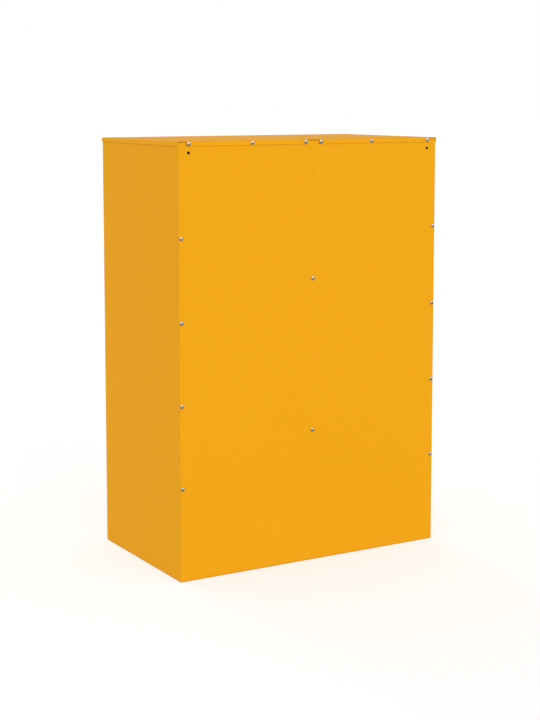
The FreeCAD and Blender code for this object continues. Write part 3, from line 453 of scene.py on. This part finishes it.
def grown(name, tree, stands, **sizes):
    """The plain mesh that a tree makes at a list of (place, facing)."""
    mesh = bpy.data.meshes.new(f"{name}_points")
    mesh.from_pydata([spot for spot, _ in stands], [], [])
    facings = mesh.attributes.new("facing", "FLOAT_VECTOR", "POINT")
    facings.data.foreach_set("vector", [number for _, facing in stands for number in facing])
    piece = bpy.data.objects.new(name, mesh)
    bpy.context.scene.collection.objects.link(piece)
    modifier = piece.modifiers.new("grow", "NODES")
    modifier.node_group = tree
    for socket in tree.interface.items_tree:
        key = socket.name.lower().replace(" ", "_")
        if socket.in_out == "INPUT" and key in sizes:
            modifier[socket.identifier] = sizes[key]
    shaped = piece.evaluated_get(bpy.context.evaluated_depsgraph_get())
    plain = bpy.data.meshes.new_from_object(shaped)
    without_slivers(plain)
    piece.modifiers.clear()
    piece.data = plain
    plain.name = name
    return piece


fasteners = on_points(*fastener_tree(), turned=True)
bright_nickel = metal("bright_nickel", colour=(0.76, 0.74, 0.69), patch=(0.69, 0.67, 0.62),
                      streaks=(900, 900, 900), patches=500, roughness=0.16, spread=0.12)

screw_head = 0.00435
screw_sizes = {
    "head_radius": screw_head, "head_height": 0.0024, "dome": 0.5, "shank_radius": 0.00195,
    "shank_length": 0.008, "cross_recess": True, "recess_length": 0.0048,
    "recess_width": 0.0010, "recess_depth": 0.0013, "finish": bright_nickel,
}
low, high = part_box("back_screws")
rear_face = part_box("back_panel")[1].y
edge_screw = high.x - screw_head
first, last = low.z + screw_head, high.z - screw_head
screw_rows = 4
below_lower_shelf, above_upper_shelf = 0.029, 0.0053
divider_screws = (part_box("lower_left_shelf")[1].z - below_lower_shelf,
                  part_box("upper_left_shelf")[1].z + above_upper_shelf)
back_spots = [(0, rear_face, height) for height in divider_screws]
for row in range(screw_rows):
    height = first + (last - first) * row / (screw_rows - 1)
    back_spots += [(side * edge_screw, rear_face, height) for side in (-1, 1)]
backwards = (0, 1, 0)
screws = grown("back_pan_screws", fasteners, [(spot, backwards) for spot in back_spots],
               turn_seed=4, **screw_sizes)
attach(screws, "cabinet")
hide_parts("back_screws")

low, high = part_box("lid_screws")
skirt_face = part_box("lid")[1].y
outer_screw = high.x - screw_head
inner_screw = 0.020
skirt_middle = (low.z + high.z) / 2
lid_spots = [(side * across, skirt_face, skirt_middle)
             for across in (inner_screw, outer_screw / 2, outer_screw) for side in (-1, 1)]
screws = grown("lid_pan_screws", fasteners, [(spot, backwards) for spot in lid_spots],
               turn_seed=9, **screw_sizes)
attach(screws, "cabinet")
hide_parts("lid_screws")


# ---- clinch nuts ----
# Round steel nuts, zinc plated, turned with eased ends and pressed into the inner flange
# behind every screw.
def ring_tree():
    """Geometry Nodes: a ring with eased corners at each point, such as a nut or a washer."""
    tree = bpy.data.node_groups.new("eased_ring", "GeometryNodeTree")
    named_sockets(tree, [
        ("Points", "NodeSocketGeometry", None),
        ("Middle Radius", "NodeSocketFloat", 0.004),
        ("Wall", "NodeSocketFloat", 0.002),
        ("Height", "NodeSocketFloat", 0.002),
        ("Ease", "NodeSocketFloat", 0.0002),
        ("Sides", "NodeSocketInt", 40),
        ("Finish", "NodeSocketMaterial", None),
    ], "INPUT")
    named_sockets(tree, [("Rings", "NodeSocketGeometry", None)], "OUTPUT")
    given = tree.nodes.new("NodeGroupInput").outputs
    path = wire(tree, "GeometryNodeCurvePrimitiveCircle", {"mode": "RADIUS"},
                Resolution=given["Sides"], Radius=given["Middle Radius"])
    section = wire(tree, "GeometryNodeCurvePrimitiveQuadrilateral", {"mode": "RECTANGLE"},
                   Width=given["Wall"], Height=given["Height"])
    eased = wire(tree, "GeometryNodeFilletCurve", {"mode": "POLY"}, Curve=section.outputs[0],
                 Count=3, Radius=given["Ease"])
    swept = wire(tree, "GeometryNodeCurveToMesh", Curve=path.outputs["Curve"],
                 Profile_Curve=eased.outputs[0])
    half = wire(tree, "ShaderNodeMath", {"operation": "MULTIPLY"}, input_0=given["Height"],
                input_1=0.5)
    lift = wire(tree, "ShaderNodeCombineXYZ", Z=half.outputs[0])
    ring = wire(tree, "GeometryNodeTransform", Geometry=swept.outputs[0],
                Translation=lift.outputs[0])
    return tree, given, ring.outputs[0]


rings = on_points(*ring_tree(), turned=False)
zinc = metal("zinc_plate", colour=(0.66, 0.68, 0.70), patch=(0.60, 0.60, 0.58),
             streaks=(500, 500, 500), patches=140, roughness=0.30, spread=0.14)

sheet = 0.001
nut_seat = rear_face - 2 * sheet
lid_nut_seat = rear_face - sheet
inwards = (0, -1, 0)
nut_spots = [((x, nut_seat, z), inwards) for x, _, z in back_spots]
nut_spots += [((x, lid_nut_seat, z), inwards) for x, _, z in lid_spots]
nuts = grown("pressed_nuts", rings, nut_spots, middle_radius=0.00275, wall=0.0011, height=0.004,
             ease=0.0003, finish=zinc)
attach(nuts, "cabinet")
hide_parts("clinch_nuts")


# ---- rivets of the shelves and of the divider's foot ----
# Zinc-plated steel rivets with a low dome at both ends. Three go through each pair of shelf
# flanges and the divider between them, and three through the divider's foot.
rivet_low, rivet_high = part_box("panel_rivets")
rivet_radius = 0.0035
rivet_head = 0.0012
farthest = rivet_high.y - rivet_radius
depths = (-farthest, 0, farthest)
shelf_grip, foot_grip = 3 * sheet, 2 * sheet
flange_middle = 0.007
side_stands = []
for shelf in ("lower_left_shelf", "upper_left_shelf"):
    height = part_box(shelf)[1].z - flange_middle
    seat = rivet_low.x + rivet_head + shelf_grip
    side_stands += [((seat, depth, height), (1, 0, 0)) for depth in depths]
foot_top = rivet_low.z + rivet_head + foot_grip
foot_stands = [((0, depth, foot_top), (0, 0, 1)) for depth in depths]
rivet_sizes = {"head_radius": rivet_radius, "head_height": rivet_head, "dome": 0.75,
               "shank_radius": 0.002, "set_end": True, "finish": zinc}
shelf_rivets = grown("shelf_rivets", fasteners, side_stands, shank_length=shelf_grip,
                     **rivet_sizes)
foot_rivets = grown("foot_rivets", fasteners, foot_stands, shank_length=foot_grip, **rivet_sizes)
for rivets in (shelf_rivets, foot_rivets):
    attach(rivets, "cabinet")
    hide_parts("panel_rivets")


# ---- hinge pins and washers ----
# A headed steel pin above and below each door, pushed through the sheet beside it into the
# door's fold, and a nylon washer under the door that it turns on.
def nylon_finish():
    """Natural nylon, a little cloudy."""
    material, tree, shader = new_material("natural_nylon", Subsurface_Weight=0.2)
    shader.inputs["Subsurface Radius"].default_value = (0.002, 0.0018, 0.0012)
    peel = place_group(tree, orange_peel, Colour=(0.80, 0.78, 0.70, 1),
                       Thin_Colour=(0.72, 0.69, 0.58, 1), Peel_Size=0.0008, Drift=1.0,
                       Roughness=0.42)
    tree.links.new(peel.outputs["Colour"], shader.inputs["Base Color"])
    tree.links.new(peel.outputs["Roughness"], shader.inputs["Roughness"])
    bumped(tree, shader, peel.outputs["Height"], distance=0.00004, strength=0.3)
    return material


door_gap = 0.002
pin_reach = 0.004
boxes = [f"{row}_{column}" for row in ("bottom", "middle", "top") for column in columns]
joints = {joint["name"]: joint for joint in frame["joints"]}
pins, washers = [], []
for box in boxes:
    across, depth, _ = joints[f"{box}_door_hinge"]["pos_m"]
    low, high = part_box(f"{box}_door")
    floor, ceiling = low.z - door_gap, high.z + door_gap
    pins += [((across, depth, floor - sheet), (0, 0, -1)),
             ((across, depth, ceiling + sheet), (0, 0, 1))]
    washers.append(((across, depth, floor), (0, 0, 1)))
pivot_pins = grown("pivot_pins", fasteners, pins, head_radius=0.0033, head_height=0.002,
                   dome=0.45, shank_radius=0.0025,
                   shank_length=door_gap + 2 * sheet + pin_reach, finish=zinc)
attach(pivot_pins, "cabinet")
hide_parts("hinge_pins")
pivot_washers = grown("pivot_washers", rings, washers, middle_radius=0.004, wall=0.003,
                      height=door_gap, ease=0.0003, finish=nylon_finish())
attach(pivot_washers, "cabinet")
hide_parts("hinge_washers")


# ---- doors, letter flaps and flap pins ----
# Each door is a folded tray with a letter slot; the flap hangs in front of the slot from a
# steel pin between two ears, and has a finger lip along its bottom edge. All but the pin are
# coated like the panels.
for box in boxes:
    paint(f"{box}_door", coat)
    paint(f"{box}_flap", coat)
    paint(f"{box}_flap_pin", zinc)


# ---- card holders ----
# A satin aluminium frame bonded to the door, with a blank paper card in it and a clear film
# over the card.
def paper():
    """Matt white card with a little tooth."""
    material, tree, shader = new_material("white_card", Roughness=0.8, Specular_IOR_Level=0.3)
    place = wire(tree, "ShaderNodeTexCoord").outputs["Object"]
    fibre = wire(tree, "ShaderNodeTexNoise", Vector=place, Scale=1800.0, Detail=4.0)
    colour = wire(tree, "ShaderNodeMix", {"data_type": "RGBA"}, Factor=fibre.outputs[0],
                  input_6=(0.86, 0.85, 0.81, 1), input_7=(0.90, 0.895, 0.87, 1))
    tree.links.new(colour.outputs[2], shader.inputs["Base Color"])
    bumped(tree, shader, fibre.outputs[0], distance=0.00003, strength=0.3)
    return material


def clear_film():
    """Clear polyester film, which shows only by its gloss."""
    haze = 0.16
    material, tree, shader = new_material("clear_film", IOR=1.45, Alpha=0.14)
    shader.inputs["Base Color"].default_value = (0.9, 0.92, 0.93, 1)
    place = wire(tree, "ShaderNodeTexCoord").outputs["Object"]
    ripple = wire(tree, "ShaderNodeTexNoise", Vector=place, Scale=70.0, Detail=1.0)
    rough = wire(tree, "ShaderNodeMath", {"operation": "MULTIPLY"}, input_0=ripple.outputs[0],
                 input_1=haze)
    tree.links.new(rough.outputs[0], shader.inputs["Roughness"])
    return material


def rounded_outline(left, low, right, high, radius, steps=6):
    """A rectangle with round corners, as points anticlockwise from its lower right corner."""
    points = []
    corners = ((right - radius, low + radius), (right - radius, high - radius),
               (left + radius, high - radius), (left + radius, low + radius))
    for number, (across, up) in enumerate(corners):
        for step in range(steps + 1):
            angle = math.pi / 2 * (number - 1 + step / steps)
            points.append((across + radius * math.cos(angle), up + radius * math.sin(angle)))
    return points


least_corner = math.radians(40)


def solid_piece(name, mesh_data, material, body, ease=0.0):
    """Link a finished bmesh as a piece that rides on a body, with its edges eased."""
    bmesh.ops.recalc_face_normals(mesh_data, faces=mesh_data.faces)
    mesh = bpy.data.meshes.new(name)
    mesh_data.to_mesh(mesh)
    mesh_data.free()
    piece = bpy.data.objects.new(name, mesh)
    bpy.context.scene.collection.objects.link(piece)
    mesh.materials.append(material)
    if ease:
        bevel = piece.modifiers.new("ease", "BEVEL")
        bevel.width = ease
        bevel.segments = 3
        bevel.limit_method = "ANGLE"
        bevel.angle_limit = least_corner
        bevel.harden_normals = True
    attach(piece, body)
    return piece


def ring_plate(outer, inner, front, rear):
    """A flat plate with a hole, between two depths; both outlines have as many points."""
    shape = bmesh.new()
    loops = []
    for outline in (outer, inner):
        for depth in (front, rear):
            loops.append([shape.verts.new((across, depth, up)) for across, up in outline])
    outer_front, outer_rear, inner_front, inner_rear = loops
    count = len(outer)
    for number in range(count):
        after = (number + 1) % count
        for one, two in ((outer_front, outer_rear), (inner_rear, inner_front),
                         (inner_front, outer_front), (outer_rear, inner_rear)):
            shape.faces.new((one[number], one[after], two[after], two[number]))
    return shape


def plate(outline, front, rear):
    """A flat plate between two depths."""
    shape = bmesh.new()
    near, far = ([shape.verts.new((across, depth, up)) for across, up in outline]
                 for depth in (front, rear))
    shape.faces.new(near)
    shape.faces.new(far[::-1])
    count = len(outline)
    for number in range(count):
        after = (number + 1) % count
        shape.faces.new((near[number], far[number], far[after], near[after]))
    return shape


satin_aluminium = metal("satin_aluminium", colour=(0.80, 0.81, 0.82), patch=(0.76, 0.77, 0.78),
                        streaks=(60, 2600, 2600), patches=60, roughness=0.26, spread=0.16,
                        bump=0.25)
white_card = paper()
film = clear_film()
border = 0.005
frame_corner, window_corner = 0.0025, 0.0012
card_thickness, film_thickness = 0.0003, 0.0003
card_lap, air_gap = 0.0018, 0.00001
for box in boxes:
    low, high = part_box(f"{box}_card_holder")
    body = f"{box}_door_body"
    outer = rounded_outline(low.x, low.z, high.x, high.z, frame_corner)
    window = rounded_outline(low.x + border, low.z + border, high.x - border, high.z - border,
                             window_corner)
    lap = border - card_lap
    card_outline = rounded_outline(low.x + lap, low.z + lap, high.x - lap, high.z - lap,
                                   window_corner)
    card_front = high.y - card_thickness
    film_front = card_front - film_thickness
    holder = solid_piece(f"{box}_card_frame", ring_plate(outer, window, low.y, high.y),
                         satin_aluminium, body, ease=0.0004)
    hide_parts(f"{box}_card_holder")
    solid_piece(f"{box}_name_card", plate(card_outline, card_front, high.y - air_gap),
                white_card, body)
    solid_piece(f"{box}_card_film", plate(card_outline, film_front, card_front - air_gap),
                film, body)


# ---- cam locks ----
# A nickel-plated die-cast barrel held by a hexagon nut behind the door, a plug that the key
# turns, and a zinc-plated cam on the plug's end.
lock_nickel = metal("lock_nickel", colour=(0.78, 0.77, 0.74), patch=(0.72, 0.71, 0.68),
                    streaks=(1200, 1200, 1200), patches=260, roughness=0.14, spread=0.10)
plug_nickel = metal("plug_nickel", colour=(0.70, 0.69, 0.66), patch=(0.66, 0.65, 0.62),
                    streaks=(2200, 300, 300), patches=260, roughness=0.20, spread=0.12)
for box in boxes:
    paint(f"{box}_lock_housing", lock_nickel)
    paint(f"{box}_lock_plug", plug_nickel)
    paint(f"{box}_lock_cam", zinc)


# ---- floor and light ----
# A pale matt floor under a white studio sky, with one broad soft light towards the back and
# one towards the doors.
def floor_finish():
    """Matt white; polished metal mirrors it grey and without glow, a painted reflection."""
    seen_glow, painted_reflection_glow = 0.58, 0.02
    seen_white, painted_reflection_grey = (0.55, 0.55, 0.55, 1), (0.25, 0.25, 0.25, 1)
    material, tree, shader = new_material("pale_floor", Roughness=1.0, Specular_IOR_Level=0.0)
    shader.inputs["Emission Color"].default_value = (1, 1, 1, 1)
    # Painted reflection: glossy rays see the floor grey and unlit, so polished metal mirrors a duller floor
    # than the camera sees.
    glossy = wire(tree, "ShaderNodeLightPath").outputs["Is Glossy Ray"]
    glow = wire(tree, "ShaderNodeMath", {"operation": "MULTIPLY_ADD"}, input_0=glossy,
                input_1=painted_reflection_glow - seen_glow, input_2=seen_glow)
    tree.links.new(glow.outputs[0], shader.inputs["Emission Strength"])
    dark = wire(tree, "ShaderNodeMix", {"data_type": "RGBA"}, Factor=glossy,
                input_6=seen_white, input_7=painted_reflection_grey)
    tree.links.new(dark.outputs[2], shader.inputs["Base Color"])
    return material


floor_mesh = bmesh.new()
bmesh.ops.create_circle(floor_mesh, cap_ends=True, radius=60, segments=96)
floor_data = bpy.data.meshes.new("floor")
floor_mesh.to_mesh(floor_data)
floor_mesh.free()
floor_piece = bpy.data.objects.new("floor", floor_data)
bpy.context.scene.collection.objects.link(floor_piece)
floor_data.materials.append(floor_finish())
floor_piece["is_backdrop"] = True


def soft_sun(name, direction, strength, spread):
    """A broad light from a direction, as many degrees wide as its spread."""
    light = bpy.data.lights.new(name, "SUN")
    light.energy = strength
    light.angle = math.radians(spread)
    lamp = bpy.data.objects.new(name, light)
    lamp.rotation_euler = Vector(direction).to_track_quat("Z", "Y").to_euler()
    bpy.context.scene.collection.objects.link(lamp)


soft_sun("rear_light", direction=(-0.05, 1.0, 0.35), strength=0.46, spread=45)
soft_sun("front_light", direction=(0.0, -1.0, 0.45), strength=0.50, spread=20)


def studio_sky():
    """White behind the cabinet; its light and its mirror image are brighter above."""
    horizon, overhead = -0.05, 0.75
    world = bpy.data.worlds.new("studio_sky")
    world.use_nodes = True
    bpy.context.scene.world = world
    tree = world.node_tree
    direction = wire(tree, "ShaderNodeTexCoord").outputs["Generated"]
    height = wire(tree, "ShaderNodeSeparateXYZ", Vector=direction)
    up = wire(tree, "ShaderNodeMapRange", Value=height.outputs["Z"], From_Min=horizon,
              From_Max=overhead, To_Min=0.0, To_Max=1.0)
    soft = wire(tree, "ShaderNodeMix", {"data_type": "FLOAT"}, Factor=up.outputs[0], A=0.62,
                B=0.72)
    mirrored = wire(tree, "ShaderNodeMix", {"data_type": "FLOAT"}, Factor=up.outputs[0], A=0.55,
                    B=1.15)
    rays = wire(tree, "ShaderNodeLightPath").outputs
    light = wire(tree, "ShaderNodeMix", {"data_type": "FLOAT"}, Factor=rays["Is Glossy Ray"],
                 A=soft.outputs[0], B=mirrored.outputs[0])
    seen = wire(tree, "ShaderNodeMix", {"data_type": "FLOAT"}, Factor=rays["Is Camera Ray"],
                A=light.outputs[0], B=1.0)
    tree.links.new(seen.outputs[0], tree.nodes["Background"].inputs["Strength"])
    tree.nodes["Background"].inputs["Color"].default_value = (1, 1, 1, 1)


studio_sky()
bpy.context.scene.view_settings.view_transform = "Standard"


# ---- sizes ----
boxes = {"cad": [list(corner) for corner in cad_box], "visual": [list(corner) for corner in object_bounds()]}
